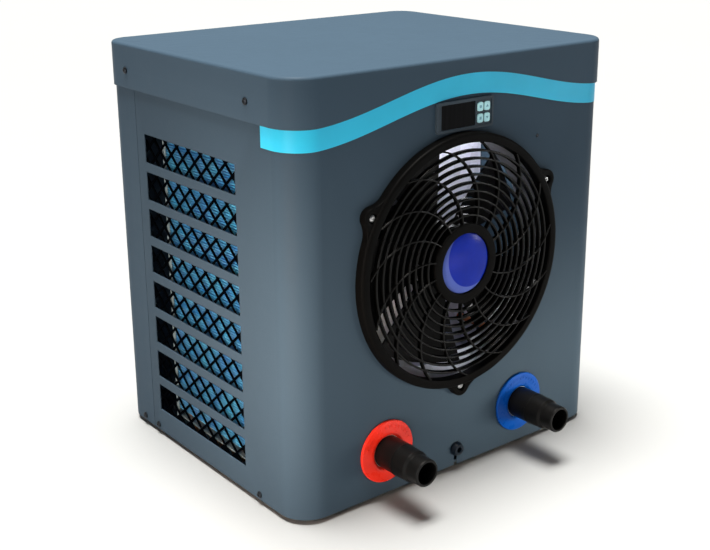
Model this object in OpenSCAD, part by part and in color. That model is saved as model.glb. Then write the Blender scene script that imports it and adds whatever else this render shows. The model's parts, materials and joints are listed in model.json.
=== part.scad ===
// Mini pool heat pump: sheet-metal cabinet with a front fan, a finned coil behind the left
// side slots, a titanium water heat exchanger, a compressor and a front controller.
// Millimetres, +Z up, the fan faces -Y, and the origin is on the floor under the centre of
// the bounding box. The lengths below are measured from the middle of the cabinet body.

/* [Cabinet] */
// Width of the cabinet body, side to side
body_w = 470; // [460:1:500]
// Depth of the cabinet body, front to back
body_d = 386; // [380:1:410]
// Height of the cabinet from the lower panel edge to the top of the cover
body_h = 491; // [485:1:510]
// Height of the panels' lower edge above the floor
foot_h = 6; // [5:0.5:8]
// Thickness of the casing sheet
sheet = 1.2; // [1:0.1:1.5]
// Radius of the two front vertical corners
front_r = 36; // [30:1:40]
// Radius of the two back vertical corners
back_r = 26; // [20:1:30]
// Place of the seam between front and back panel, along Y
seam_y = 128; // [120:1:135]
// Width of the seam
seam_gap = 1; // [0.6:0.1:1.4]

/* [Top cover] */
// How far the cover stands out beyond the body
cover_overhang = 2.6; // [2.2:0.1:3]
// Radius of the cover's upper edge
cover_edge_r = 4; // [3:0.5:6]
// Height of the cover's lower edge above the panels' lower edge
skirt_z = 437.8; // [430:0.1:442]
// How far the front skirt rises at the crest of its wave
wave_rise = 34.4; // [25:0.1:36]
// Place of the crest along X
wave_crest_x = 4; // [-20:1:20]
// Length from the crest to each foot of the wave
wave_half = 224; // [215:1:228]
// Height of the bright stripe below the skirt
stripe_h = 23.6; // [18:0.1:26]

/* [Side slots] */
// Number of slots in the left side
slot_count = 8; // [4:1:8]
// Length of each slot
slot_l = 197; // [150:1:200]
// Height of each slot
slot_h = 34.6; // [25:0.1:36]
// Distance from one slot to the next
slot_pitch = 46; // [40:0.5:46]
// Lower edge of the lowest slot above the panels' lower edge
slot_first = 30.6; // [28:0.1:36]

/* [Fan] */
// Place of the fan axis along X
fan_x = -6; // [-10:1:10]
// Height of the fan axis above the panels' lower edge
fan_up = 258; // [255:1:260]
// Outer radius of the grille's rim
grille_r = 150; // [148:1:150]
// Number of concentric ribs
rib_count = 9; // [6:1:10]
// Number of curved spokes
spoke_count = 15; // [9:1:18]
// Tip radius of the impeller
blade_r = 132; // [120:1:134]
// Number of impeller blades
blade_count = 5; // [3:1:6]

/* [Water connections] */
// Place of the warm outlet along X
outlet_x = -113.5; // [-118:0.5:-110]
// Place of the cold inlet along X
inlet_x = 97.5; // [92:0.5:100]
// Height of both connections above the panels' lower edge
pipe_up = 54; // [52:1:56]
// Radius of the large hose step
hose_large_r = 19; // [18:0.5:19]
// Radius of the small hose step
hose_small_r = 16; // [15:0.5:16.5]

/* [Controller] */
// Width of the controller bezel
bezel_w = 84; // [80:1:88]
// Height of the controller bezel
bezel_h = 34; // [32:1:35]
// Travel of each key
key_travel = 0.8; // [0.4:0.1:1]

/* [Hidden] */

$fn = 64;
eps = 0.01;
gap = 0.3;

base_z = foot_h;
top_z = base_z + body_h;
skirt_top = base_z + skirt_z;
front_y = -body_d / 2;
inner_front_y = front_y + sheet;
inner_side_x = body_w / 2 - sheet;
inner_back_y = body_d / 2 - sheet;

// Base pan
pan_sheet = 1.5;
pan_z = base_z + 2;
floor_z = pan_z + pan_sheet;
pan_rim = 12;
foot_x = 190;
foot_y = 150;
foot_r = 16;
gland_x = -5;
gland_z = base_z + 21.5;
gland_hole_r = 6.2;

// Screws
head_r = 4;
head_t = 2.4;
shank_r = 2;
cover_screw_z = base_z + 459;
cover_screw_y = [-117, 142];
low_screw_z = base_z + 6.5;
front_screw_y = [-115.5, 116.5];
back_screw_y = 151;
back_screw_x = 150;
rivet_pos = [115.5, base_z + 387];

// Slots and coil
slot_y0 = -87.5;
guard_t = 1.6;
guard_y0 = -97;
guard_y1 = 121;
guard_z0 = base_z + 21;
guard_z1 = base_z + 401;
diamond_y = 26;
diamond_z = 23;
strand = 2.8;
coil_x = -218;
coil_t = 22;
coil_y0 = -165;
coil_y1 = 72;
coil_z0 = base_z + 36;
coil_z1 = base_z + 396;
coil_tubes = 10;
tube_pitch = (coil_y1 - coil_y0) / coil_tubes;
tube_r = 4;
fin_t = 0.3;
fin_pitch = 9;

// Fan
fan_z = base_z + fan_up;
opening_r = 140;
band_r = 139;
grille_h = 12;
rib_w = 2.6;
rib_t = 6;
spoke_w = 2;
hub_r = 47;
badge_r = 35.5;
lug_r = 152;
lug_body_r = 12;
lug_h = 9.4;
lug_hollow = 26;
lug_angles = [30, 150, 270];
shroud_y1 = -150;
fan_y0 = -181;
fan_y1 = -147;
fan_hub_r = 38;
shaft_r = 4;
motor_r = 45;
motor_y0 = -138;
motor_y1 = -78;
bracket_t = 2;

// Water circuit
pipe_z = base_z + pipe_up;
shell_y = -141;
shell_r = 38;
shell_bore = 33;
shell_x0 = -150;
shell_x1 = 135;
stub_r = 19.3;
stub_bore = 15.5;
stub_y = front_y - 3;
flange_r = 37.5;
spigot_l = 71;
water_bore = 13;
coil_turn_r = 24;

// Refrigerant circuit
wall_x = 45;
wall_y = 20;
comp_x = 118;
comp_y = 100;
comp_r = 59;
comp_z0 = base_z + 28;
comp_h = 228;
acc_x = 204;
acc_y = 110;
stub_x = comp_x + 30;
stub_back_y = comp_y - 28;
discharge_x = 200;
discharge_z = pipe_z + coil_turn_r;
suction_y = coil_tube_y(coil_tubes - 1);
suction_z = base_z + 312;
box_z0 = base_z + 340;
box_z1 = base_z + 424;
drier_x = -186;
drier_z0 = base_z + 144;
drier_h = 78;

// Controller
ctrl_x = -2.8;
ctrl_z = base_z + 427;
bezel_t = 3.5;
window_w = 50.6;
window_h = 27.4;
window_x = ctrl_x - 10;
key_w = 8.2;
key_h = 10;
key_dx = 10.2;
key_dz = 13;
key_stem = 0.3;
key_x = ctrl_x + 27.3;
case_w = 77.6;
case_h = 29;
case_d = 55;

// The whole unit is moved back so that its bounding box is centred on the origin
box_shift_y = (spigot_l - front_y - body_d / 2 - cover_overhang - head_t - 0.05) / 2;

// Height of the front skirt's lower edge at a place along X
function wave_z(x) = abs(x - wave_crest_x) > wave_half ? skirt_top
    : skirt_top + wave_rise * (1 + cos(180 * (x - wave_crest_x) / wave_half)) / 2;
// Place of one of the coil's tubes along Y
function coil_tube_y(i) = coil_y0 + tube_pitch * (i + 0.5);
function unit(v) = v / norm(v);
// Angles that turn the local axes onto three given unit vectors
function turn_to(x, y, z) = abs(x[2]) > 0.9999 ? [atan2(-x[2] * y[0], y[1]), -90 * x[2], 0]
    : [atan2(y[2], z[2]), -asin(x[2]), atan2(x[1], x[0])];

// ---------- shared shapes ----------

module placed() { translate([0, box_shift_y, 0]) children(); }

// Rounded rectangle with its own front and back corner radius
module outline(w, d, rf, rb) {
    union() {
        translate([-w / 2, -d / 2 + rf]) square([w, d - rf - rb]);
        translate([-w / 2 + rf, -d / 2]) square([w - 2 * rf, rf + 1]);
        translate([-w / 2 + rb, d / 2 - rb - 1]) square([w - 2 * rb, rb + 1]);
        for (s = [-1, 1]) {
            translate([s * (w / 2 - rf), -d / 2 + rf]) circle(rf);
            translate([s * (w / 2 - rb), d / 2 - rb]) circle(rb);
        }
    }
}

module body_outline(grow) {
    outline(body_w + 2 * grow, body_d + 2 * grow, front_r + grow, back_r + grow);
}

module body_wall(z0, z1) {
    translate([0, 0, z0]) linear_extrude(z1 - z0) difference() {
        body_outline(0);
        body_outline(-sheet);
    }
}

module quarter_disc(r) {
    intersection() {
        circle(r);
        square(r + 1);
    }
}

// Block with the body's outline and a rounded upper edge
module soft_block(grow, h, er) {
    w = body_w + 2 * grow;
    d = body_d + 2 * grow;
    union() {
        linear_extrude(h - er) body_outline(grow);
        translate([0, 0, h - er - eps]) linear_extrude(er + eps) body_outline(grow - er);
        translate([0, 0, h - er]) {
            for (s = [[-1, front_r + grow, 180], [1, back_r + grow, 0]]) {
                span = w - 2 * s[1];
                translate([-s[0] * span / 2, s[0] * (d / 2 - er), 0])
                    rotate([90, 0, s[0] * 90]) linear_extrude(span) quarter_disc(er);
                for (side = [-1, 1])
                    translate([side * (w / 2 - s[1]), s[0] * (d / 2 - s[1]), 0])
                        rotate(s[2] + (side * s[0] > 0 ? 0 : 90)) rotate_extrude(angle = 90)
                            translate([s[1] - er, 0]) quarter_disc(er);
            }
            y0 = -d / 2 + front_r + grow;
            y1 = d / 2 - back_r - grow;
            translate([w / 2 - er, y1, 0]) rotate([90, 0, 0]) linear_extrude(y1 - y0)
                quarter_disc(er);
            translate([-w / 2 + er, y0, 0]) rotate([90, 0, 180]) linear_extrude(y1 - y0)
                quarter_disc(er);
        }
    }
}

// Solid between two heights that both follow the wave, along the whole depth
module wave_prism(below, above, x0, x1, depth) {
    steps = 60;
    xs = [for (i = [0 : steps]) x0 + (x1 - x0) * i / steps];
    translate([0, front_y - 10 + depth, 0]) rotate([90, 0, 0]) linear_extrude(depth)
        polygon(concat([for (x = xs) [x, wave_z(x) - below]],
            [for (i = [steps : -1 : 0]) [xs[i], wave_z(xs[i]) + above]]));
}

// Children are built round +Z and turned to point out of the front, the side or the back
module on_front(x, z, y = front_y) { translate([x, y, z]) rotate([90, 0, 0]) children(); }
module on_side(side, y, z, grow = 0) {
    translate([side * (body_w / 2 + grow), y, z]) rotate([0, side * 90, 0]) children();
}
module on_back(x, z, grow = 0) {
    translate([x, body_d / 2 + grow, z]) rotate([-90, 0, 0]) children();
}

// Pan-head screw with a cross recess, head up from z = 0
module pan_screw(hr, ht, sr, len) {
    difference() {
        union() {
            translate([0, 0, 0.05]) cylinder(r = hr, h = ht * 0.5);
            translate([0, 0, 0.05 + ht * 0.5]) cylinder(r1 = hr, r2 = hr * 0.62, h = ht * 0.5);
            translate([0, 0, -len]) cylinder(r = sr, h = len + 0.1);
        }
        for (a = [0, 90]) rotate(a) translate([-hr * 0.5, -hr * 0.11, ht * 0.45])
            cube([hr, hr * 0.22, ht]);
    }
}

// Round bar from a to b
module bar(a, b, r) {
    v = b - a;
    translate(a) rotate([0, atan2(norm([v[0], v[1]]), v[2]), atan2(v[1], v[0])])
        cylinder(r = r, h = norm(v));
}

// Bent tube along points, with true arcs of one bend radius at the inner points
module tube_run(pts, r, bend) {
    last = len(pts) - 1;
    dirs = [for (i = [0 : last - 1]) unit(pts[i + 1] - pts[i])];
    turns = [for (i = [1 : last - 1]) acos(dirs[i - 1] * dirs[i])];
    cuts = [for (a = turns) bend * tan(a / 2)];
    for (i = [0 : last - 1]) {
        head = i == 0 ? 0 : cuts[i - 1];
        tail = i == last - 1 ? 0 : cuts[i];
        bar(pts[i] + dirs[i] * head, pts[i + 1] - dirs[i] * tail, r);
    }
    for (i = [1 : last - 1]) {
        d1 = dirs[i - 1];
        n = unit(dirs[i] - (d1 * dirs[i]) * d1);
        translate(pts[i] - d1 * cuts[i - 1] + n * bend) rotate(turn_to(-n, d1, cross(d1, n)))
            rotate_extrude(angle = turns[i - 1]) translate([bend, 0]) circle(r);
    }
}

// Tube swept along a path given as [along, angle] pairs round the local Z axis
module coil_sweep(path, turn_r, r, sides) {
    count = len(path);
    pos = [for (p = path) [turn_r * cos(p[1]), turn_r * sin(p[1]), p[0]]];
    rings = [for (i = [0 : count - 1])
        let (t = unit(pos[min(i + 1, count - 1)] - pos[max(i - 1, 0)]),
            n = [cos(path[i][1]), sin(path[i][1]), 0],
            b = cross(t, n))
        [for (k = [0 : sides - 1]) pos[i] + r * (cos(360 * k / sides) * n + sin(360 * k / sides) * b)]];
    points = [for (ring = rings) for (p = ring) p];
    walls = [for (i = [0 : count - 2]) for (k = [0 : sides - 1])
        let (a = i * sides + k, b = i * sides + (k + 1) % sides)
        [a, a + sides, b + sides, b]];
    ends = [[for (k = [0 : sides - 1]) k],
        [for (k = [sides - 1 : -1 : 0]) (count - 1) * sides + k]];
    polyhedron(points, concat(walls, ends), 4);
}

// ---------- cabinet ----------

module base_pan() {
    color("silver") difference() {
        translate([0, 0, pan_z]) linear_extrude(pan_rim) body_outline(-sheet - gap);
        translate([0, 0, floor_z]) linear_extrude(pan_rim) body_outline(-sheet - gap - pan_sheet);
        // notch for the cable gland
        translate([gland_x - 14, front_y, floor_z + 2]) cube([28, 8, pan_rim]);
        for (x = [-1, 1], y = [-1, 1]) translate([x * foot_x, y * foot_y, pan_z - 1])
            cylinder(r = 2.6, h = 5);
        // condensate drains under the coil
        for (y = [-110, -20, 70]) translate([-205, y, pan_z - 1]) cylinder(r = 5, h = 5);
        for (p = grommet_places()) translate([p[0], p[1], pan_z - 1]) cylinder(r = 3.2, h = 5);
        for (side = [-1, 1], y = concat(front_screw_y, [back_screw_y]))
            on_side(side, y, low_screw_z) translate([0, 0, -6]) cylinder(r = shank_r, h = 8);
        for (x = [-1, 1]) on_back(x * back_screw_x, low_screw_z) translate([0, 0, -6])
            cylinder(r = shank_r, h = 8);
    }
}

module front_panel() {
    top = top_z - sheet - 3;
    color("slategray") difference() {
        union() {
            difference() {
                body_wall(base_z, top);
                translate([-body_w, seam_y - seam_gap / 2, 0])
                    cube([2 * body_w, body_d, 2 * body_h]);
            }
            // hems folded inwards at the seam
            for (side = [-1, 1])
                translate([side * (inner_side_x - 4) - 4, seam_y - seam_gap / 2 - sheet, pan_z + 20])
                    cube([8, sheet, 400]);
        }
        on_front(fan_x, fan_z) translate([0, 0, -5]) cylinder(r = opening_r, h = 10, $fn = 160);
        translate([ctrl_x - case_w / 2 - 0.4, front_y - 2, ctrl_z - case_h / 2 - 0.5])
            cube([case_w + 0.8, 6, case_h + 1]);
        for (x = [outlet_x, inlet_x]) on_front(x, pipe_z) translate([0, 0, -5])
            cylinder(r = stub_r + 1, h = 10);
        on_front(gland_x, gland_z) translate([0, 0, -5]) cylinder(r = gland_hole_r, h = 10);
        translate([gland_x - 2.6, front_y - 2, base_z - 1]) cube([5.2, 6, gland_z - base_z]);
        for (i = [0 : slot_count - 1])
            translate([-body_w / 2 - 2, slot_y0, base_z + slot_first + i * slot_pitch])
                cube([6, slot_l, slot_h]);
        for (a = lug_angles) on_front(fan_x + lug_r * cos(a), fan_z + lug_r * sin(a))
            translate([0, 0, -5]) cylinder(r = shank_r, h = 10);
        on_front(rivet_pos[0], rivet_pos[1]) translate([0, 0, -5]) cylinder(r = 1.6, h = 10);
        for (side = [-1, 1], y = front_screw_y)
            on_side(side, y, low_screw_z) translate([0, 0, -4]) cylinder(r = shank_r, h = 8);
        for (side = [-1, 1])
            on_side(side, cover_screw_y[0], cover_screw_z) translate([0, 0, -4])
                cylinder(r = shank_r, h = 8);
    }
}

module back_panel() {
    top = top_z - sheet - 3;
    color("slategray") difference() {
        body_wall(base_z, top);
        translate([-body_w, -body_d, 0])
            cube([2 * body_w, body_d + seam_y + seam_gap / 2, 2 * body_h]);
        // vents of the compressor chamber
        for (i = [0 : 6]) translate([70, body_d / 2 - 4, base_z + 110 + 16 * i]) cube([110, 8, 5]);
        for (side = [-1, 1]) {
            on_side(side, back_screw_y, low_screw_z) translate([0, 0, -4])
                cylinder(r = shank_r, h = 8);
            on_side(side, cover_screw_y[1], cover_screw_z) translate([0, 0, -4])
                cylinder(r = shank_r, h = 8);
            on_back(side * back_screw_x, low_screw_z) translate([0, 0, -4])
                cylinder(r = shank_r, h = 8);
            on_back(side * back_screw_x, cover_screw_z) translate([0, 0, -4])
                cylinder(r = shank_r, h = 8);
        }
    }
}

module top_cover() {
    h = top_z - skirt_top;
    color("lightslategray") difference() {
        translate([0, 0, skirt_top]) soft_block(cover_overhang, h, cover_edge_r);
        translate([0, 0, skirt_top - 2])
            soft_block(cover_overhang - sheet, h + 2 - sheet, cover_edge_r - sheet);
        wave_prism(wave_rise + 2, 0, wave_crest_x - wave_half, wave_crest_x + wave_half, 40);
        for (side = [-1, 1]) {
            for (y = cover_screw_y) on_side(side, y, cover_screw_z)
                translate([0, 0, -4]) cylinder(r = shank_r, h = 8);
            on_back(side * back_screw_x, cover_screw_z) translate([0, 0, -4])
                cylinder(r = shank_r, h = 8);
        }
    }
}

module wave_stripe() {
    film = 0.5;
    end_y = -139.5;
    color("deepskyblue") intersection() {
        translate([0, 0, skirt_top - stripe_h - 2]) linear_extrude(stripe_h + wave_rise + 10)
            difference() {
                body_outline(film);
                body_outline(0.05);
                translate([-body_w, end_y]) square([2 * body_w, body_d]);
            }
        wave_prism(stripe_h, 5, -body_w / 2 - 5, body_w / 2 + 5, 120);
    }
}

module partition_panel() {
    h = box_z0 - floor_z - 0.1;
    color("gainsboro") difference() {
        union() {
            translate([wall_x, wall_y, floor_z]) cube([inner_side_x - wall_x - 2.2, sheet, h]);
            translate([wall_x, wall_y, floor_z]) cube([sheet, inner_back_y - wall_y - 2.2, h]);
            // flanges that stand on the base pan
            translate([wall_x, wall_y - 12, floor_z]) cube([inner_side_x - wall_x - 3, 12.5, sheet]);
            translate([wall_x - 12, wall_y, floor_z]) cube([12.5, inner_back_y - wall_y - 3, sheet]);
        }
        // pass-throughs of the discharge and suction pipes
        translate([discharge_x, wall_y - 2, discharge_z]) rotate([-90, 0, 0])
            cylinder(r = 8, h = 6);
        translate([wall_x - 2, suction_y, suction_z]) rotate([0, 90, 0]) cylinder(r = 9, h = 6);
    }
}

module rubber_feet() {
    color("dimgray") for (x = [-1, 1], y = [-1, 1]) translate([x * foot_x, y * foot_y, 0])
        difference() {
            union() {
                cylinder(r1 = foot_r - 2, r2 = foot_r, h = 3);
                translate([0, 0, 3]) cylinder(r = foot_r, h = pan_z - 3);
            }
            translate([0, 0, 3]) cylinder(r = 2.6, h = 10);
            translate([0, 0, -1]) cylinder(r = 6, h = 4);
        }
}

module foot_screws() {
    color("silver") for (x = [-1, 1], y = [-1, 1]) translate([x * foot_x, y * foot_y, 0]) {
        translate([0, 0, 1]) cylinder(r = 4.5, h = 2);
        translate([0, 0, 3]) cylinder(r = 2.5, h = pan_z + pan_sheet);
        translate([0, 0, floor_z]) difference() {
            cylinder(r = 5, h = 4, $fn = 6);
            translate([0, 0, -1]) cylinder(r = 2.5, h = 6);
        }
    }
}

module cover_screws() {
    color("darkslategray") for (side = [-1, 1]) {
        for (y = cover_screw_y) on_side(side, y, cover_screw_z, cover_overhang)
            pan_screw(head_r, head_t, shank_r - 0.1, 8);
        on_back(side * back_screw_x, cover_screw_z, cover_overhang)
            pan_screw(head_r, head_t, shank_r - 0.1, 8);
    }
}

module panel_screws() {
    color("darkslategray") for (side = [-1, 1]) {
        for (y = concat(front_screw_y, [back_screw_y])) on_side(side, y, low_screw_z)
            pan_screw(head_r, head_t, shank_r - 0.1, 8);
        on_back(side * back_screw_x, low_screw_z) pan_screw(head_r, head_t, shank_r - 0.1, 8);
    }
}

module panel_rivet() {
    color("darkslategray") on_front(rivet_pos[0], rivet_pos[1]) {
        translate([0, 0, 0.05]) cylinder(r1 = 2.3, r2 = 1.5, h = 1);
        translate([0, 0, -3]) cylinder(r = 1.5, h = 3.1);
        translate([0, 0, -3.4]) cylinder(r = 2.4, h = 2);
    }
}

// ---------- coil side ----------

module side_mesh_guard() {
    w = guard_y1 - guard_y0;
    h = guard_z1 - guard_z0;
    cols = floor((w - 8) / diamond_y);
    rows = floor((h - 8) / diamond_z);
    dy = diamond_y / 2 - strand * 0.72;
    dz = diamond_z / 2 - strand * 0.68;
    color("black") translate([-inner_side_x + 0.2, guard_y0, guard_z0])
        rotate([90, 0, 90]) linear_extrude(guard_t) difference() {
            square([w, h]);
            for (i = [0 : cols - 1], j = [0 : rows - 1], k = [0, 1])
                if (k == 0 || (i < cols - 1 && j < rows - 1))
                    translate([w / 2 + (i - (cols - 1) / 2 + k / 2) * diamond_y,
                        h / 2 + (j - (rows - 1) / 2 + k / 2) * diamond_z])
                        polygon([[-dy, 0], [0, -dz], [dy, 0], [0, dz]]);
        }
}

module evaporator_fins() {
    count = floor((coil_z1 - coil_z0) / fin_pitch) - 1;
    color("lightskyblue") for (j = [1 : count])
        translate([coil_x, 0, coil_z0 + j * fin_pitch]) linear_extrude(fin_t) difference() {
            translate([-coil_t / 2, coil_y0]) square([coil_t, coil_y1 - coil_y0]);
            for (i = [0 : coil_tubes - 1]) translate([0, coil_tube_y(i)])
                circle(tube_r + 0.05, $fn = 24);
        }
}

module evaporator_tubes() {
    bottom = coil_z0 - 6;
    top = coil_z1 + 6;
    color("peru") {
        for (i = [0 : coil_tubes - 1]) translate([coil_x, coil_tube_y(i), bottom])
            cylinder(r = tube_r, h = top - bottom);
        for (i = [0 : 2 : coil_tubes - 2])
            translate([coil_x, coil_tube_y(i) + tube_pitch / 2, bottom]) rotate([-90, 0, 90])
                rotate_extrude(angle = 180) translate([tube_pitch / 2, 0]) circle(tube_r);
        for (i = [1 : 2 : coil_tubes - 3])
            translate([coil_x, coil_tube_y(i) + tube_pitch / 2, top]) rotate([90, 0, 90])
                rotate_extrude(angle = 180) translate([tube_pitch / 2, 0]) circle(tube_r);
    }
}

module evaporator_plates() {
    color("silver") for (z = [coil_z0 - 1.5, coil_z1]) translate([coil_x, 0, z])
        linear_extrude(1.5) difference() {
            translate([-coil_t / 2 - 1, coil_y0 - 2]) square([coil_t + 14, coil_y1 - coil_y0 + 4]);
            for (i = [0 : coil_tubes - 1]) translate([0, coil_tube_y(i)]) circle(tube_r + 0.05);
        }
    // legs that stand on the base pan, and the end strips that close the fin block
    color("silver") for (y = [coil_y0 - 2, coil_y1 + 0.8])
        translate([coil_x - coil_t / 2 - 1, y, floor_z])
            cube([coil_t + 2, 1.2, coil_z1 - floor_z]);
    // outward lip of the back strip, which covers the ends of the fins
    color("silver") translate([coil_x - coil_t / 2 - 2.1, coil_y1 - 3.2, floor_z])
        cube([1.2, 5.2, coil_z1 - floor_z]);
}

// ---------- fan ----------

module fan_shroud() {
    color("gray") on_front(fan_x, fan_z, 0) difference() {
        union() {
            translate([0, 0, -shroud_y1]) cylinder(r = 142, h = -inner_front_y - 0.2 + shroud_y1, $fn = 160);
            translate([0, 0, -inner_front_y - 1.6]) cylinder(r = 148, h = 1.4, $fn = 160);
        }
        translate([0, 0, -shroud_y1 - 1]) cylinder(r = opening_r, h = 60, $fn = 160);
    }
}

// Rim profile with a rounded outer edge
module grille_rim_profile() {
    edge = 4;
    difference() {
        translate([band_r, 0]) square([grille_r - band_r, grille_h]);
        translate([grille_r - edge, grille_h - edge]) difference() {
            square(edge + 1);
            circle(edge);
        }
    }
}

// Web that runs from the rim into a lug with a hollow on each side
module lug_web() {
    steps = 8;
    reach = grille_r + lug_hollow;
    cx = (reach * reach - pow(lug_body_r + lug_hollow, 2) + lug_r * lug_r) / (2 * lug_r);
    cy = sqrt(reach * reach - cx * cx);
    a0 = atan2(-cy, -cx);
    a1 = atan2(-cy, lug_r - cx);
    arc = [for (i = [0 : steps]) let (a = a0 + (a1 - a0) * i / steps)
        [cx + (lug_hollow + 0.8) * cos(a), cy + (lug_hollow + 0.8) * sin(a)]];
    polygon(concat([[band_r + 3, 25]], arc, [for (i = [steps : -1 : 0]) [arc[i][0], -arc[i][1]]],
        [[band_r + 3, -25]]));
}

module fan_grille() {
    spoke_bend = 71;
    rib_gap = (band_r - hub_r) / (rib_count + 1);
    color("black") on_front(fan_x, fan_z, front_y - 0.05) difference() {
        union() {
            rotate_extrude($fn = 160) grille_rim_profile();
            for (a = lug_angles) rotate(a) {
                translate([lug_r, 0, 0]) cylinder(r = lug_body_r, h = lug_h);
                linear_extrude(lug_h) lug_web();
            }
            for (i = [1 : rib_count]) translate([0, 0, grille_h - rib_t]) linear_extrude(rib_t)
                difference() {
                    circle(hub_r + i * rib_gap + rib_w / 2, $fn = 128);
                    circle(hub_r + i * rib_gap - rib_w / 2, $fn = 128);
                }
            translate([0, 0, grille_h - rib_t]) cylinder(r = hub_r, h = rib_t + 1, $fn = 96);
            for (k = [0 : spoke_count - 1]) rotate(k * 360 / spoke_count)
                translate([hub_r - 1, spoke_bend, grille_h - rib_t + 1]) rotate(-90)
                    rotate_extrude(angle = 93) translate([spoke_bend - spoke_w / 2, 0])
                        square([spoke_w, rib_t - 0.4]);
        }
        translate([0, 0, grille_h - 2]) cylinder(r = badge_r + 0.3, h = 5, $fn = 96);
        for (a = lug_angles) rotate(a) translate([lug_r, 0, -1]) {
            cylinder(r = 2.2, h = 12);
            translate([0, 0, 5.5]) cylinder(r = 5.6, h = 8);
        }
    }
}

module hub_badge() {
    dome_r = 220;
    rise = dome_r - sqrt(dome_r * dome_r - badge_r * badge_r);
    color("mediumblue") on_front(fan_x, fan_z, front_y - 0.05 - grille_h + 2) intersection() {
        cylinder(r = badge_r, h = 10, $fn = 96);
        translate([0, 0, 1 + rise - dome_r]) sphere(r = dome_r, $fn = 200);
    }
}

module grille_screws() {
    color("silver") for (a = lug_angles)
        on_front(fan_x + lug_r * cos(a), fan_z + lug_r * sin(a), front_y - 5.6)
            pan_screw(head_r, head_t, shank_r - 0.1, 12);
}

module motor_bracket() {
    h = base_z + 432 - floor_z;
    strip = 60;
    color("silver") difference() {
        union() {
            translate([fan_x - strip / 2, motor_y1, floor_z]) cube([strip, bracket_t, h]);
            translate([fan_x - strip / 2, motor_y1, floor_z]) cube([strip, 20, bracket_t]);
            on_front(fan_x, fan_z, motor_y1 + bracket_t) cylinder(r = motor_r + 6, h = bracket_t);
            // cross rail below the cover
            translate([-inner_side_x + 1.5, motor_y1, floor_z + h]) cube([2 * inner_side_x - 3, 20, 2]);
        }
        on_front(fan_x, fan_z, motor_y1 + 5) cylinder(r = 13, h = 10);
        for (a = [45 : 90 : 315])
            on_front(fan_x + 34 * cos(a), fan_z + 34 * sin(a), motor_y1 + 5)
                cylinder(r = 2.3, h = 10);
    }
}

module fan_motor() {
    len = motor_y1 - motor_y0 - 0.1;
    color("dimgray") on_front(fan_x, fan_z, motor_y1 - 0.1) difference() {
        union() {
            cylinder(r = motor_r - 4, h = len);
            translate([0, 0, 8]) cylinder(r = motor_r, h = len - 16);
            translate([0, 0, len - eps]) cylinder(r = 12, h = 3);
        }
        translate([0, 0, 12]) cylinder(r = shaft_r + 0.05, h = len);
        for (a = [45 : 90 : 315]) translate([34 * cos(a), 34 * sin(a), -1]) cylinder(r = 2, h = 8);
    }
    color("silver") for (a = [45 : 90 : 315])
        on_front(fan_x + 34 * cos(a), fan_z + 34 * sin(a), motor_y1 + bracket_t) rotate([180, 0, 0])
            pan_screw(4, 2.4, 1.9, 7);
}

module fan_shaft() {
    color("lightgray") on_front(fan_x, fan_z, motor_y1 - 13) cylinder(r = shaft_r, h = -fan_y0 + motor_y1 - 13 + 5);
}

// One cambered blade: a slice of a large tube wall inside a fan-shaped sector
module blade() {
    camber_r = 150;
    span = 46;
    depth = fan_y1 - fan_y0;
    intersection() {
        linear_extrude(depth) difference() {
            polygon(concat([[0, 0]], [for (i = [0 : 8]) let (a = -span / 2 + span * i / 8)
                1.2 * blade_r * [cos(a), sin(a)]]));
            circle(fan_hub_r - 1.5);
        }
        cylinder(r = blade_r, h = depth, $fn = 128);
        rotate([14, 0, 0]) translate([0, 0, camber_r + 9]) rotate([0, 90, 0]) difference() {
            cylinder(r = camber_r + 2.4, h = 2 * blade_r, $fn = 128);
            translate([0, 0, -1]) cylinder(r = camber_r, h = 2 * blade_r + 2, $fn = 128);
        }
    }
}

module fan_impeller() {
    depth = fan_y1 - fan_y0;
    color("black") on_front(fan_x, fan_z, fan_y1) difference() {
        union() {
            cylinder(r = fan_hub_r, h = depth);
            for (k = [0 : blade_count - 1]) rotate(k * 360 / blade_count + 38) blade();
        }
        translate([0, 0, -1]) difference() {
            cylinder(r = fan_hub_r - 3, h = depth - 4);
            cylinder(r = 9, h = depth);
        }
        translate([0, 0, -2]) cylinder(r = shaft_r, h = depth + 4);
    }
}

module fan_nut() {
    color("silver") on_front(fan_x, fan_z, fan_y0 - 0.05) difference() {
        cylinder(r = 7.5, h = 4.5, $fn = 6);
        translate([0, 0, -1]) cylinder(r = shaft_r, h = 7);
    }
}

// ---------- controller ----------

module controller_case() {
    y0 = inner_front_y + 0.2;
    color("darkslategray") difference() {
        union() {
            translate([ctrl_x - case_w / 2, front_y + 0.05, ctrl_z - case_h / 2])
                cube([case_w, case_d, case_h]);
            // side clips behind the panel
            for (s = [-1, 1]) translate([ctrl_x + s * (case_w / 2 + 1.5) - 1.6, y0, ctrl_z - 8])
                cube([3.2, 18, 16]);
        }
        translate([ctrl_x - case_w / 2 + 1.5, front_y - 1, ctrl_z - case_h / 2 + 1.5])
            cube([case_w - 3, case_d - 1, case_h - 3]);
    }
}

module key_hole(i, k, grow) {
    w = key_w + 2 * grow;
    h = key_h + 2 * grow;
    translate([key_x + (i - 0.5) * key_dx, front_y, ctrl_z + (k - 0.5) * key_dz])
        rotate([90, 0, 0]) rounded_bar(w, h, 2.4 + grow, 12);
}

// Upright bar with rounded edges, centred, from z = -6 up
module rounded_bar(w, h, r, t) {
    translate([0, 0, -6]) linear_extrude(t) union() {
        square([w - 2 * r, h], center = true);
        square([w, h - 2 * r], center = true);
        for (x = [-1, 1], y = [-1, 1]) translate([x * (w / 2 - r), y * (h / 2 - r)]) circle(r);
    }
}

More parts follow.
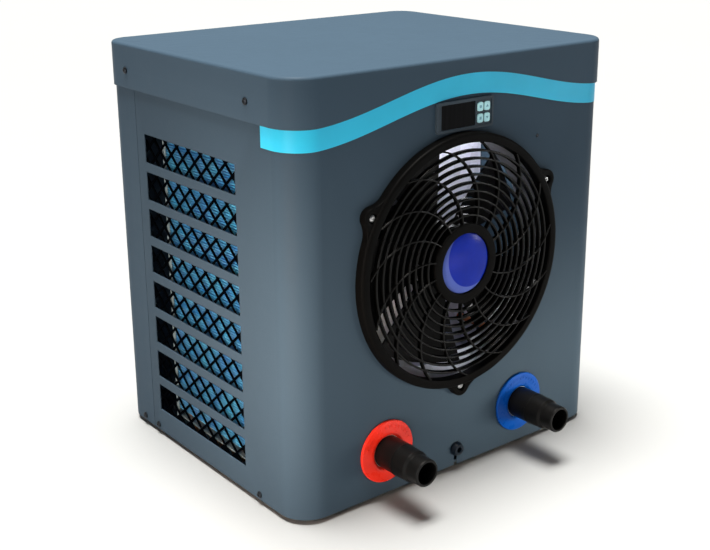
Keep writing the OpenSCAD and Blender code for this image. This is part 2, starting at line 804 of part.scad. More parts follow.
module controller_bezel() {
    color("slategray") difference() {
        translate([ctrl_x, front_y, ctrl_z]) rotate([90, 0, 0]) union() {
            translate([0, 0, 6.05]) rounded_bar(bezel_w, bezel_h, 3, bezel_t - 1);
            // raised lip along the edge
            translate([0, 0, 6.05]) difference() {
                rounded_bar(bezel_w, bezel_h, 3, bezel_t);
                translate([0, 0, -1]) rounded_bar(bezel_w - 5, bezel_h - 5, 1.5, bezel_t + 2);
            }
        }
        translate([window_x, front_y, ctrl_z]) rotate([90, 0, 0])
            rounded_bar(window_w, window_h, 1, 12);
        for (i = [0, 1], k = [0, 1]) key_hole(i, k, 0.35);
    }
}

module display_window() {
    color("black") translate([window_x, front_y, ctrl_z]) rotate([90, 0, 0])
        translate([0, 0, 6.2]) rounded_bar(window_w - 0.2, window_h - 0.2, 0.9, 1.8);
}

module keypad_board() {
    board_y = front_y + 2.2;
    dome_h = board_y - front_y - key_stem - key_travel - gap;
    color("darkgreen") {
        translate([ctrl_x - case_w / 2 + 2, board_y, ctrl_z - case_h / 2 + 2])
            cube([case_w - 4, 1.4, case_h - 4]);
        // contact domes under the keys
        for (i = [0, 1], k = [0, 1])
            on_front(key_x + (i - 0.5) * key_dx, ctrl_z + (k - 0.5) * key_dz, board_y)
                cylinder(r = 2.2, h = dome_h);
    }
}

// A key cap; i counts columns and k counts rows from the lower left
module key_cap(i, k) {
    color("paleturquoise") translate([key_x + (i - 0.5) * key_dx, front_y, ctrl_z + (k - 0.5) * key_dz])
        rotate([90, 0, 0]) union() {
            translate([0, 0, 6]) rounded_bar(key_w, key_h, 2.4, bezel_t + 0.1);
            translate([0, 0, -key_stem]) cylinder(r = 1.8, h = 1);
        }
}

module key_set() { key_cap(0, 0); }
module key_down() { key_cap(1, 0); }
module key_power() { key_cap(0, 1); }
module key_up() { key_cap(1, 1); }

// ---------- water circuit ----------

module exchanger_shell() {
    color("whitesmoke") difference() {
        union() {
            translate([shell_x0, shell_y, pipe_z]) rotate([0, 90, 0])
                cylinder(r = shell_r, h = shell_x1 - shell_x0);
            for (x = [outlet_x, inlet_x]) translate([x, shell_y, pipe_z]) rotate([90, 0, 0])
                cylinder(r = stub_r, h = shell_y - stub_y);
        }
        translate([shell_x0 - 1, shell_y, pipe_z]) rotate([0, 90, 0])
            cylinder(r = shell_bore, h = shell_x1 - shell_x0 + 2);
        for (x = [outlet_x, inlet_x]) translate([x, shell_y, pipe_z]) rotate([90, 0, 0])
            cylinder(r = stub_bore, h = shell_y - stub_y + 1);
        // boss hole of the flow switch
        translate([-40, shell_y, pipe_z]) cylinder(r = 6, h = shell_r + 5);
    }
}

module exchanger_cap(x, side, tail_angle) {
    translate([x, shell_y, pipe_z]) rotate([0, side * 90, 0]) difference() {
        union() {
            translate([0, 0, -14]) cylinder(r = shell_r + 3, h = 22);
            rotate(tail_angle) translate([coil_turn_r, 0, 8 - eps]) cylinder(r = 8, h = 7, $fn = 6);
        }
        translate([0, 0, -15]) cylinder(r = shell_r + 0.1, h = 15.2);
        rotate(tail_angle) translate([coil_turn_r, 0, -2]) cylinder(r = 4.7, h = 20);
    }
}

module exchanger_caps() {
    color("lightgray") {
        exchanger_cap(shell_x1, 1, 180);
        exchanger_cap(shell_x0, -1, 0);
    }
}

module titanium_coil() {
    turns = 9;
    steps = 20;
    x0 = shell_x0 + 22;
    x1 = shell_x1 - 22;
    helix = [for (i = [0 : turns * steps]) [x0 + (x1 - x0) * i / (turns * steps), 180 + 360 * i / steps]];
    path = concat([[shell_x0 - 16, 180], [x0 - 8, 180]], helix,
        [[x1 + 8, 180 + 360 * turns], [shell_x1 + 16, 180 + 360 * turns]]);
    color("darkgray") translate([0, shell_y, pipe_z]) rotate([0, 90, 0])
        coil_sweep(path, coil_turn_r, 4.5, 8);
}

module exchanger_saddles() {
    drop = pipe_z - floor_z;
    color("dimgray") for (x = [-72, 46]) translate([x, shell_y, pipe_z]) rotate([90, 0, 90])
        linear_extrude(16) difference() {
            union() {
                circle(shell_r + 3);
                translate([-shell_r - 3, -drop]) square([2 * shell_r + 6, drop]);
            }
            circle(shell_r + 0.05);
            translate([-24, -drop - 1]) square([48, 6]);
        }
}

// Stepped hose tail: the large step, a bead, a neck and the small step
module hose_spigot(x) {
    color("black") on_front(x, pipe_z) difference() {
        union() {
            translate([0, 0, -16]) cylinder(r = stub_bore - 0.1, h = 22);
            translate([0, 0, 3.2]) cylinder(r = hose_large_r, h = 27);
            translate([0, 0, 30.2]) cylinder(r = hose_large_r + 0.5, h = 1.6);
            translate([0, 0, 31.8]) cylinder(r1 = hose_large_r, r2 = hose_large_r - 0.6, h = 19);
            translate([0, 0, 50.8]) cylinder(r1 = hose_large_r - 0.6, r2 = hose_small_r, h = 3);
            translate([0, 0, 53.8]) cylinder(r = hose_small_r, h = spigot_l - 55);
            translate([0, 0, spigot_l - 1.2]) cylinder(r1 = hose_small_r, r2 = hose_small_r - 0.8, h = 1.2);
        }
        translate([0, 0, -17]) cylinder(r = water_bore, h = spigot_l + 20);
    }
}

module outlet_spigot() { hose_spigot(outlet_x); }
module inlet_spigot() { hose_spigot(inlet_x); }

// Coloured flange ring with a dished face and raised tick marks
module flange_ring(x) {
    bore = stub_r + 0.1;
    on_front(x, pipe_z, front_y - 0.05) union() {
        rotate_extrude() polygon([[bore, 0], [flange_r - 1, 0], [flange_r, 1], [flange_r, 2.8],
            [flange_r - 0.9, 3.6], [25, 5.4], [22, 5.4], [bore, 3.4]]);
        for (a = [20 : 10 : 160]) rotate(a) translate([29, -0.6, 3]) cube([3.4, 1.2, 2]);
    }
}

module outlet_flange() { color("orangered") flange_ring(outlet_x); }
module inlet_flange() { color("dodgerblue") flange_ring(inlet_x); }

module bulkhead_gaskets() {
    color("black") for (x = [outlet_x, inlet_x]) on_front(x, pipe_z, inner_front_y + 2.1)
        difference() {
            cylinder(r = 27, h = 2);
            translate([0, 0, -1]) cylinder(r = stub_r + 0.1, h = 4);
        }
}

module bulkhead_nuts() {
    color("white") for (x = [outlet_x, inlet_x]) on_front(x, pipe_z, inner_front_y + 8.2)
        difference() {
            cylinder(r = 26, h = 6, $fn = 8);
            translate([0, 0, -1]) cylinder(r = stub_r + 0.1, h = 8);
        }
}

module flow_switch() {
    color("dimgray") translate([-40, shell_y, pipe_z]) {
        translate([0, 0, shell_bore - 4]) cylinder(r = 5.9, h = 10);
        translate([0, 0, shell_r + 0.2]) cylinder(r = 10, h = 8, $fn = 6);
        translate([0, 0, shell_r + 8]) cylinder(r = 9, h = 14);
        translate([-0.8, -6, -6]) cube([1.6, 5, 36]);
    }
}

// ---------- refrigerant circuit ----------

function grommet_places() = [for (a = [90, 210, 330]) [comp_x + 66 * cos(a), comp_y + 66 * sin(a)]];

module compressor() {
    dome = 16;
    color("black") {
        translate([comp_x, comp_y, comp_z0]) rotate_extrude($fn = 96) polygon(concat(
            [[0, 0]],
            [for (i = [0 : 6]) [comp_r - dome * (1 - sin(15 * i)), dome * (1 - cos(15 * i))]],
            [for (i = [0 : 6]) [comp_r - dome * (1 - cos(15 * i)), comp_h - dome * (1 - sin(15 * i))]],
            [[0, comp_h]]));
        // three-armed base plate
        translate([0, 0, comp_z0 - 3.2]) linear_extrude(3) difference() {
            union() {
                translate([comp_x, comp_y]) circle(48);
                for (a = [90, 210, 330]) translate([comp_x, comp_y]) rotate(a) {
                    translate([0, -13]) square([66, 26]);
                    translate([66, 0]) circle(13);
                }
            }
            for (p = grommet_places()) translate(p) circle(8);
        }
        translate([comp_x, comp_y, comp_z0 - 0.3]) cylinder(r = 30, h = 1);
        // discharge stub
        translate([stub_x, stub_back_y, comp_z0 + comp_h - 6]) cylinder(r = 6.5, h = 10);
    }
}

module compressor_grommets() {
    z1 = comp_z0 - 3.3;
    color("dimgray") for (p = grommet_places()) translate([p[0], p[1], floor_z]) difference() {
        union() {
            cylinder(r = 12, h = z1 - floor_z);
            cylinder(r = 7.9, h = z1 - floor_z + 3.4);
            translate([0, 0, z1 - floor_z + 3.3]) cylinder(r = 11, h = 4);
        }
        translate([0, 0, -1]) cylinder(r = 3.1, h = 40);
    }
}

module compressor_bolts() {
    color("silver") for (p = grommet_places()) translate([p[0], p[1], 0]) {
        translate([0, 0, pan_z - 3]) cylinder(r = 6, h = 2.9, $fn = 6);
        translate([0, 0, pan_z - 0.2]) cylinder(r = 3, h = comp_z0 - pan_z + 12);
        translate([0, 0, comp_z0 + 4.2]) cylinder(r = 9, h = 1.5);
        translate([0, 0, comp_z0 + 5.6]) cylinder(r = 5.5, h = 5, $fn = 6);
    }
}

module terminal_cover() {
    color("black") translate([comp_x, comp_y, comp_z0 + comp_h + 0.1]) {
        cylinder(r = 24, h = 20);
        translate([0, 0, 20 - eps]) cylinder(r1 = 24, r2 = 20, h = 5);
        translate([-8, -34, 0]) cube([16, 14, 14]);
    }
}

module accumulator() {
    z0 = base_z + 56;
    h = 150;
    color("black") {
        translate([acc_x, acc_y, z0]) rotate_extrude() polygon([[0, 0], [14, 0], [20, 4], [22, 10],
            [22, h - 10], [20, h - 4], [14, h], [0, h]]);
        tube_run([[acc_x, acc_y, z0 + 1], [acc_x, acc_y, comp_z0 + 18],
            [comp_x + sqrt(comp_r * comp_r - pow(acc_y - comp_y, 2)) + 0.8, acc_y, comp_z0 + 18]], 5, 12);
    }
}

module discharge_pipe() {
    top = comp_z0 + comp_h + 30;
    color("peru") tube_run([[stub_x, stub_back_y, comp_z0 + comp_h + 4.1],
        [stub_x, stub_back_y, top], [discharge_x, stub_back_y, top],
        [discharge_x, stub_back_y, discharge_z], [discharge_x, shell_y, discharge_z],
        [shell_x1 + 17, shell_y, discharge_z]], 4.5, 14);
}

module liquid_pipe() {
    color("peru") tube_run([[shell_x0 - 17, shell_y, pipe_z + coil_turn_r],
        [drier_x, shell_y, pipe_z + coil_turn_r], [drier_x, shell_y, drier_z0 - 0.1]], 4, 12);
}

module filter_drier() {
    h = drier_h;
    color("darkgoldenrod") translate([drier_x, shell_y, drier_z0]) rotate_extrude()
        polygon([[0, 0], [4.6, 0], [4.6, 6], [10, 14], [10, h - 14], [3, h - 5], [3, h], [0, h]]);
}

module capillary_tube() {
    passes = 5;
    step = 10;
    swing = 14;
    z0 = drier_z0 + drier_h;
    end_y = coil_tube_y(0);
    winding = [for (i = [0 : passes - 1], k = [0, 1])
        [drier_x + (i % 2 == 0 ? swing : -swing), shell_y, z0 + 12 + step * (i + k)]];
    color("peru") tube_run(concat([[drier_x, shell_y, z0 + 0.1], [drier_x, shell_y, z0 + 12]], winding,
        [[drier_x, shell_y, z0 + 12 + step * passes], [drier_x, shell_y, coil_z1 + 24],
        [coil_x, shell_y, coil_z1 + 24], [coil_x, end_y, coil_z1 + 24],
        [coil_x, end_y, coil_z1 + 6.1]]), 1.5, 4);
}

module suction_pipe() {
    color("peru") tube_run([[coil_x, suction_y, coil_z1 + 6.1], [coil_x, suction_y, coil_z1 + 26],
        [-20, suction_y, coil_z1 + 26], [-20, suction_y, suction_z], [acc_x, suction_y, suction_z],
        [acc_x, acc_y, suction_z], [acc_x, acc_y, base_z + 206]], 5, 14);
}

// ---------- electrics ----------

module control_box() {
    w = inner_side_x - wall_x - 9.5;
    d = inner_back_y - wall_y - 2;
    h = box_z1 - box_z0;
    color("silver") translate([wall_x, wall_y, box_z0]) difference() {
        cube([w, d, h]);
        translate([sheet, sheet, sheet]) cube([w - 2 * sheet, d - 2 * sheet, h]);
        // corner relief beside the cabinet's rounded corner, and a wire hole
        translate([w - back_r * 0.6, d - back_r * 0.6, -1]) cube([back_r, back_r, h + 2]);
        translate([30, 40, -1]) cylinder(r = 9, h = 4);
    }
}

module control_box_lid() {
    w = inner_side_x - wall_x - 9.5;
    d = inner_back_y - wall_y - 2;
    color("silver") translate([wall_x, wall_y, box_z1 + 0.1]) difference() {
        cube([w, d, sheet]);
        translate([w - back_r * 0.6, d - back_r * 0.6, -1]) cube([back_r, back_r, 5]);
    }
}

module control_board() {
    color("darkgreen") translate([wall_x + 12, wall_y + 14, box_z0 + 10]) {
        difference() {
            cube([110, 90, 1.6]);
            for (x = [5, 105], y = [5, 85]) translate([x, y, -1]) cylinder(r = 1.8, h = 4);
        }
        for (x = [5, 105], y = [5, 85]) translate([x, y, -8.7]) cylinder(r = 3.2, h = 8.7);
    }
    color("dimgray") translate([wall_x + 12, wall_y + 14, box_z0 + 11.6 - eps]) {
        for (i = [0 : 2]) translate([12 + 24 * i, 62, 0]) cube([18, 15, 15]);
        translate([14, 14, 0]) cube([34, 28, 24]);
        translate([72, 10, 0]) cube([26, 12, 12]);
        for (i = [0 : 1]) translate([64 + 18 * i, 44, 0]) cylinder(r = 6, h = 22);
    }
}

module run_capacitor() {
    color("lightgray") translate([wall_x + 150, wall_y + 66, box_z0 + sheet + 0.1]) {
        cylinder(r = 20, h = 58);
        translate([0, 0, 58 - eps]) cylinder(r = 17, h = 4);
        for (x = [-7, 7]) translate([x - 3, -0.5, 61]) cube([6, 1, 9]);
    }
}

module cable_gland() {
    color("black") on_front(gland_x, gland_z) difference() {
        union() {
            translate([0, 0, 0.05]) cylinder(r = 8.6, h = 2.4);
            translate([0, 0, 2.4]) cylinder(r1 = 8.4, r2 = 6.8, h = 4.4);
            translate([0, 0, -12]) cylinder(r = 6, h = 12.1);
        }
        translate([0, 0, -13]) cylinder(r = 3.6, h = 22);
    }
}

module gland_nut() {
    color("black") on_front(gland_x, gland_z, inner_front_y + 6.2) difference() {
        cylinder(r = 9.5, h = 5, $fn = 6);
        translate([0, 0, -1]) cylinder(r = 6.05, h = 7);
    }
}

placed() base_pan();
placed() front_panel();
placed() back_panel();
placed() top_cover();
placed() wave_stripe();
placed() partition_panel();
placed() rubber_feet();
placed() foot_screws();
placed() cover_screws();
placed() panel_screws();
placed() panel_rivet();
placed() side_mesh_guard();
placed() evaporator_fins();
placed() evaporator_tubes();
placed() evaporator_plates();
placed() fan_shroud();
placed() fan_grille();
placed() hub_badge();
placed() grille_screws();
placed() motor_bracket();
placed() fan_motor();
placed() fan_shaft();
placed() fan_impeller();
placed() fan_nut();
placed() controller_case();
placed() controller_bezel();
placed() display_window();
placed() keypad_board();
placed() key_up();
placed() key_down();
placed() key_set();
placed() key_power();
placed() exchanger_shell();
placed() exchanger_caps();
placed() titanium_coil();
placed() exchanger_saddles();
placed() outlet_spigot();
placed() inlet_spigot();
placed() outlet_flange();
placed() inlet_flange();
placed() bulkhead_gaskets();
placed() bulkhead_nuts();
placed() flow_switch();
placed() compressor();
placed() compressor_grommets();
placed() compressor_bolts();
placed() terminal_cover();
placed() accumulator();
placed() discharge_pipe();
placed() liquid_pipe();
placed() filter_drier();
placed() capillary_tube();
placed() suction_pipe();
placed() control_box();
placed() control_box_lid();
placed() control_board();
placed() run_capacitor();
placed() cable_gland();
placed() gland_nut();
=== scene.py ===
# Looks of the pool heat pump unit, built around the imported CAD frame.
# Metres and +Z up, with the fan facing -Y. The grille's own measures are in mm.
import json
import math
import random

import bmesh
import bpy
from mathutils import Matrix, Vector


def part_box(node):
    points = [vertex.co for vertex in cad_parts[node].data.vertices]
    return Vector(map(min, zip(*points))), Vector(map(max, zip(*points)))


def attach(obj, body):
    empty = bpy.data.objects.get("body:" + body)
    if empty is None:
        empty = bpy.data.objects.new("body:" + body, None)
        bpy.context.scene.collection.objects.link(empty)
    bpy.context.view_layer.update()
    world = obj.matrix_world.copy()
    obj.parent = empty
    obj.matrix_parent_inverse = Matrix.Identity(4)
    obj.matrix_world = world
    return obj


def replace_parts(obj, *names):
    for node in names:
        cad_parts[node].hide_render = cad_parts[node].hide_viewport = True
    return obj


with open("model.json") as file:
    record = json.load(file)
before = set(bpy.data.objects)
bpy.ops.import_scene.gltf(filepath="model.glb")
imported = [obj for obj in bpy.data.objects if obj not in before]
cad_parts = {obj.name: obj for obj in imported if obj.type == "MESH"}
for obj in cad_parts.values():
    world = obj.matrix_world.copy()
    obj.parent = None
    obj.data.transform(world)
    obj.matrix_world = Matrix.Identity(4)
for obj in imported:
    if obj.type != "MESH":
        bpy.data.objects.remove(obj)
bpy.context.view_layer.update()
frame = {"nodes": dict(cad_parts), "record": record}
nodes = frame["nodes"]
MM = 0.001
TAU = 2 * math.pi


# ---------- places, all read from the CAD frame ----------

def middle(node):
    lo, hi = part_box(node)
    return (lo + hi) / 2


fan_centre = middle("hub_badge")
fan_base_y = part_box("fan_grille")[1].y
coil_lo, coil_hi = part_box("evaporator_fins")


# ---------- materials ----------

def srgb(r, g, b):
    """sRGB 0-255 to the linear colour that a shader takes."""
    def lin(c):
        c /= 255
        return c / 12.92 if c <= 0.04045 else ((c + 0.055) / 1.055) ** 2.4
    return (lin(r), lin(g), lin(b), 1.0)


def scaled(colour, k):
    return (min(colour[0] * k, 1), min(colour[1] * k, 1), min(colour[2] * k, 1), 1.0)


NOISE_ROUGHNESS = 0.55
BEVEL_SAMPLES = 6
# The Mix node's sockets when it mixes colours
MIX_A, MIX_B, MIX_RESULT = 6, 7, 2


class Tree:
    """A material's node tree with short calls for the nodes used here."""

    def __init__(self, name):
        self.mat = bpy.data.materials.new(name)
        self.mat.use_nodes = True
        self.nt = self.mat.node_tree
        self.bsdf = self.nt.nodes["Principled BSDF"]
        self.coords = self.nt.nodes.new("ShaderNodeTexCoord").outputs["Object"]

    def node(self, kind, **inputs):
        n = self.nt.nodes.new(kind)
        for key, value in inputs.items():
            self.put(value, n.inputs[key.replace("_", " ")])
        return n

    def put(self, value, socket):
        if isinstance(value, bpy.types.NodeSocket):
            self.nt.links.new(value, socket)
        else:
            socket.default_value = value

    def stretched(self, scale):
        """Object coordinates scaled axis by axis, for drawn or flowing patterns."""
        m = self.node("ShaderNodeMapping", Vector=self.coords, Scale=scale)
        return m.outputs["Vector"]

    def noise(self, scale, detail=3.0, vector=None):
        n = self.node("ShaderNodeTexNoise", Vector=vector or self.coords, Scale=scale,
                      Detail=detail, Roughness=NOISE_ROUGHNESS)
        return n.outputs["Fac"]

    def voronoi(self, scale, output="Color"):
        n = self.node("ShaderNodeTexVoronoi", Vector=self.coords, Scale=scale)
        return n.outputs[output]

    def span(self, value, low, high, in_low=0.3, in_high=0.7):
        """Maps in_low..in_high to low..high. The defaults suit a noise's usual range."""
        n = self.nt.nodes.new("ShaderNodeMapRange")
        for i, v in enumerate((value, in_low, in_high, low, high)):
            self.put(v, n.inputs[i])
        return n.outputs[0]

    def mix(self, fac, a, b):
        n = self.nt.nodes.new("ShaderNodeMix")
        n.data_type = "RGBA"
        self.put(fac, n.inputs["Factor"])
        self.put(a, n.inputs[MIX_A])
        self.put(b, n.inputs[MIX_B])
        return n.outputs[MIX_RESULT]

    def bumps(self, layers, edge=0.0):
        """Chains (height, distance) layers over normals rounded at the edges."""
        normal = None
        if edge:
            bevel = self.nt.nodes.new("ShaderNodeBevel")
            bevel.samples = BEVEL_SAMPLES
            bevel.inputs["Radius"].default_value = edge
            normal = bevel.outputs["Normal"]
        for height, distance in layers:
            n = self.node("ShaderNodeBump", Height=height, Distance=distance, Strength=1.0)
            if normal:
                self.put(normal, n.inputs["Normal"])
            normal = n.outputs["Normal"]
        if normal:
            self.put(normal, self.bsdf.inputs["Normal"])

    def set(self, **sockets):
        """Sets the shader's own sockets, with _ for a space in a socket's name."""
        for key, value in sockets.items():
            self.put(value, self.bsdf.inputs[key.replace("_", " ")])


def powder_coat(name, colour, rough, coat=0.0):
    """Baked powder paint: fine orange peel, faint clouding, and a painted highlight that makes
    the sharp edges slightly paler.
    """
    t = Tree(name)
    cloud = t.noise(7.0, 4)
    speck = t.noise(1500.0, 2)
    base = t.mix(t.span(cloud, 0, 1), scaled(colour, 0.97), scaled(colour, 1.03))
    base = t.mix(t.span(speck, 0, 0.5), base, scaled(colour, 1.22))
    # painted highlight: sharp edges are mixed towards a paler paint, standing in for the light
    # they catch
    painted_edge_highlight = t.nt.nodes.new("ShaderNodeNewGeometry").outputs["Pointiness"]
    base = t.mix(t.span(painted_edge_highlight, 0, 0.35, 0.53, 0.62), base, scaled(colour, 1.5))
    t.set(Base_Color=base, Roughness=t.span(t.noise(60.0), rough - 0.04, rough + 0.05))
    t.set(Coat_Weight=coat, Coat_Roughness=0.3, Specular_IOR_Level=0.04)
    t.bumps([(t.noise(620.0, 2), 0.00006)], 0.0006)
    return t.mat


def moulded(name, colour, rough=0.3, spread=0.06, grain=0.00002, edge=0.0004,
            grain_scale=1400.0, tint=1.12, specular=0.5):
    """Injection-moulded plastic: even colour with flow clouding and a fine tool grain."""
    t = Tree(name)
    flow = t.noise(22.0, 3, vector=t.stretched((1.0, 1.0, 2.2)))
    base = t.mix(t.span(flow, 0, 1), scaled(colour, 2 - tint), scaled(colour, tint))
    t.set(Base_Color=base, Roughness=t.span(t.noise(90.0), rough - spread, rough + spread))
    t.set(Specular_IOR_Level=specular)
    t.bumps([(t.noise(grain_scale, 2), grain), (flow, 0.0001)], edge)
    return t.mat


def galvanised(name, colour, rough, metallic):
    """Zinc-coated sheet with its crystal spangle."""
    t = Tree(name)
    cells = t.voronoi(95.0)
    grey = t.node("ShaderNodeRGBToBW", Color=cells).outputs[0]
    base = t.mix(t.span(grey, 0, 1, 0.2, 0.8), scaled(colour, 0.84), scaled(colour, 1.12))
    base = t.mix(t.span(t.noise(14.0), 0, 0.35), base, scaled(colour, 0.8))
    t.set(Base_Color=base, Roughness=t.span(grey, rough - 0.09, rough + 0.09, 0.2, 0.8))
    t.set(Metallic=metallic)
    t.bumps([(t.noise(800.0, 2), 0.00002)], 0.0003)
    return t.mat


def bare_metal(name, colour, rough, lines=(1.0, 1.0, 1.0), stain=0.25):
    """Drawn or turned metal with stretched tool lines and dull patches."""
    t = Tree(name)
    scratch = t.noise(500.0, 3, vector=t.stretched(lines))
    dull = t.noise(35.0, 4)
    base = t.mix(t.span(dull, 0, stain), colour, scaled(colour, 0.6))
    base = t.mix(t.span(scratch, 0, 0.25), base, scaled(colour, 1.3))
    t.set(Base_Color=base, Roughness=t.span(dull, rough - 0.07, rough + 0.12), Metallic=1.0)
    t.bumps([(scratch, 0.00002)], 0.0003)
    return t.mat


def rubbery(name, colour):
    """Matt rubber with a dusty bloom."""
    t = Tree(name)
    dust = t.noise(120.0, 4)
    base = t.mix(t.span(dust, 0, 1), colour, scaled(colour, 1.9))
    t.set(Base_Color=base, Roughness=t.span(dust, 0.62, 0.8))
    t.set(Specular_IOR_Level=0.35)
    t.bumps([(t.noise(900.0, 3), 0.00005)], 0.0005)
    return t.mat


def stripe_film(name, colour):
    """Self-adhesive film: glossy, faintly mottled by the paint under it."""
    t = Tree(name)
    cloud = t.noise(16.0, 3)
    base = t.mix(t.span(cloud, 0, 1), scaled(colour, 0.95), scaled(colour, 1.05))
    t.set(Base_Color=base, Roughness=t.span(t.noise(70.0), 0.3, 0.4))
    t.set(Specular_IOR_Level=0.12)
    t.bumps([(t.noise(600.0, 2), 0.00003)], 0.0002)
    return t.mat


def domed_badge(name, centre, radius):
    """Deep blue resin dome with a plain paler crescent along its lower left edge.

    The crescent is what a second circle of this radius, shifted up and right, leaves free."""
    t = Tree(name)
    deep, pale = srgb(0, 32, 150), srgb(72, 92, 172)
    shift = 0.24 * radius
    inner = (centre.x + shift, centre.y, centre.z + 0.75 * shift)
    offset = t.node("ShaderNodeVectorMath", Vector=t.coords)
    offset.operation = "SUBTRACT"
    offset.inputs[1].default_value = inner
    flat = t.node("ShaderNodeVectorMath", Vector=offset.outputs[0])
    flat.operation = "MULTIPLY"
    flat.inputs[1].default_value = (1.0, 0.0, 1.0)
    length = t.node("ShaderNodeVectorMath", Vector=flat.outputs[0])
    length.operation = "LENGTH"
    mask = t.span(length.outputs["Value"], 0, 1, radius * 0.985, radius)
    cloud = t.span(t.noise(60.0), 0, 1)
    blue = t.mix(cloud, scaled(deep, 0.9), scaled(deep, 1.12))
    light = t.mix(cloud, scaled(pale, 0.92), scaled(pale, 1.08))
    t.set(Base_Color=t.mix(mask, blue, light), Roughness=t.span(t.noise(200.0), 0.12, 0.2))
    t.set(Specular_IOR_Level=0.12)
    t.bumps([(t.noise(500.0, 2), 0.00001)])
    return t.mat


def fin_coating(name):
    """Blue-coated aluminium fins: sheet to sheet the blue shifts towards green, and some
    sheets carry a pale painted highlight.
    """
    t = Tree(name)
    painted_sheet_highlight = t.noise(420.0, 2, vector=t.stretched((0.02, 0.02, 1.0)))
    patch = t.noise(38.0, 3)
    base = t.mix(t.span(patch, 0, 1), srgb(32, 122, 206), srgb(62, 172, 216))
    # pale streaks on some sheets: a painted highlight
    base = t.mix(t.span(painted_sheet_highlight, 0, 0.4), base, srgb(140, 208, 232))
    t.set(Base_Color=base, Metallic=0.1, Roughness=t.span(patch, 0.35, 0.5))
    t.bumps([(t.noise(700.0, 2), 0.00004)])
    return t.mat


def circuit(name):
    """Green solder mask over copper tracks."""
    t = Tree(name)
    tracks = t.voronoi(160.0, "Distance")
    base = t.mix(t.span(tracks, 0, 1, 0.25, 0.32), srgb(8, 60, 34), srgb(22, 98, 55))
    t.set(Base_Color=base, Roughness=t.span(t.noise(80.0), 0.3, 0.45))
    t.bumps([(tracks, 0.00003)], 0.0002)
    return t.mat


def window_glass(name):
    """Smoked window: near black with faint vertical banding from the display behind it."""
    t = Tree(name)
    band = t.noise(300.0, 1, vector=t.stretched((1.0, 1.0, 0.05)))
    base = t.mix(t.span(band, 0, 1), srgb(5, 6, 8), srgb(14, 15, 18))
    t.set(Base_Color=base, Roughness=t.span(t.noise(150.0), 0.06, 0.12))
    t.set(Specular_IOR_Level=0.04)
    t.bumps([(t.noise(240.0, 2), 0.000008)], 0.0003)
    return t.mat


PAINT = srgb(54, 70, 84)
CRESCENT_RADIUS = 0.0355
mats = {
    "body_paint": powder_coat("body_paint", PAINT, 0.44),
    # the cover's paint is the body's paint made 12% paler: painted light, for the brighter-lit
    # top
    "cover_paint": powder_coat("cover_paint", scaled(PAINT, 1.12), 0.42),
    "stripe_film": stripe_film("stripe_film", srgb(50, 194, 236)),
    "galvanised": galvanised("galvanised", srgb(205, 208, 216), 0.46, 0.35),
    "partition_sheet": galvanised("partition_sheet", srgb(222, 222, 240), 0.5, 0.1),
    "screw_dark": bare_metal("screw_dark", srgb(52, 54, 58), 0.38),
    "screw_zinc": bare_metal("screw_zinc", srgb(205, 205, 205), 0.28),
    "rubber": rubbery("rubber", srgb(24, 24, 25)),
    "mesh_black": moulded("mesh_black", srgb(2, 3, 5), 0.6, specular=0.0),
    "fin_blue": fin_coating("fin_blue"),
    "fin_plate": galvanised("fin_plate", srgb(128, 146, 152), 0.5, 0.3),
    "copper": bare_metal("copper", srgb(214, 138, 96), 0.3, (1.0, 1.0, 0.1), 0.5),
    "grille_black": moulded("grille_black", srgb(5, 5, 5), 0.16, 0.04, 0.000012,
                            specular=0.12),
    "grille_matt": moulded("grille_matt", srgb(8, 8, 8), 0.46, 0.05, 0.00004,
                           specular=0.03),
    "badge_blue": domed_badge("badge_blue", fan_centre, CRESCENT_RADIUS),
    "motor_grey": powder_coat("motor_grey", srgb(30, 30, 32), 0.35),
    "shaft_steel": bare_metal("shaft_steel", srgb(200, 200, 200), 0.22, (1.0, 0.1, 1.0)),
    "fan_black": moulded("fan_black", srgb(9, 9, 10), 0.34, 0.05, specular=0.15),
    "bezel_slate": moulded("bezel_slate", srgb(50, 63, 74), 0.5, grain=0.00004, specular=0.15),
    "window_black": window_glass("window_black"),
    "board_green": circuit("board_green"),
    "key_cyan": moulded("key_cyan", srgb(178, 236, 248), 0.4, edge=0.0006),
    "key_mark": moulded("key_mark", srgb(104, 166, 188), 0.45),
    "pvc_white": moulded("pvc_white", srgb(226, 226, 222), 0.34),
    "cap_grey": moulded("cap_grey", srgb(120, 123, 126), 0.42),
    "titanium": bare_metal("titanium", srgb(176, 172, 166), 0.34),
    "hose_black": moulded("hose_black", srgb(11, 11, 11), 0.36, 0.07, 0.00006,
                          grain_scale=900.0, specular=0.14),
    "flange_red": moulded("flange_red", srgb(222, 43, 26), 0.3, tint=1.08, specular=0.25),
    "flange_blue": moulded("flange_blue", srgb(4, 74, 166), 0.3, tint=1.08, specular=0.12),
    "gland_black": moulded("gland_black", srgb(10, 22, 34), 0.3, specular=0.22),
    "compressor_black": powder_coat("compressor_black", srgb(22, 22, 24), 0.28, 0.3),
    "capacitor_alu": bare_metal("capacitor_alu", srgb(212, 212, 214), 0.3, (1, 1, 0.1)),
}

# Every CAD node gets the look of its slot in the record, apart from these two
look_of = {s["node"]: s["material_slot"] for s in frame["record"]["subparts"]}
look_of.update(partition_panel="partition_sheet", cable_gland="gland_black")
for name, obj in nodes.items():
    obj.data.materials.clear()
    obj.data.materials.append(mats[look_of[name]])


# ---------- mesh helpers ----------

def place(name, bm, material, body="cabinet", smooth=True):
    """Turns a bmesh into a piece that rides on a body. Sharp edges stay sharp."""
    bmesh.ops.recalc_face_normals(bm, faces=bm.faces)
    me = bpy.data.meshes.new(name)
    bm.to_mesh(me)
    bm.free()
    if smooth:
        me.shade_smooth()
        me.set_sharp_from_angle(angle=math.radians(38))
    me.materials.append(mats[material])
    obj = bpy.data.objects.new(name, me)
    bpy.context.scene.collection.objects.link(obj)
    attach(obj, body)
    return obj


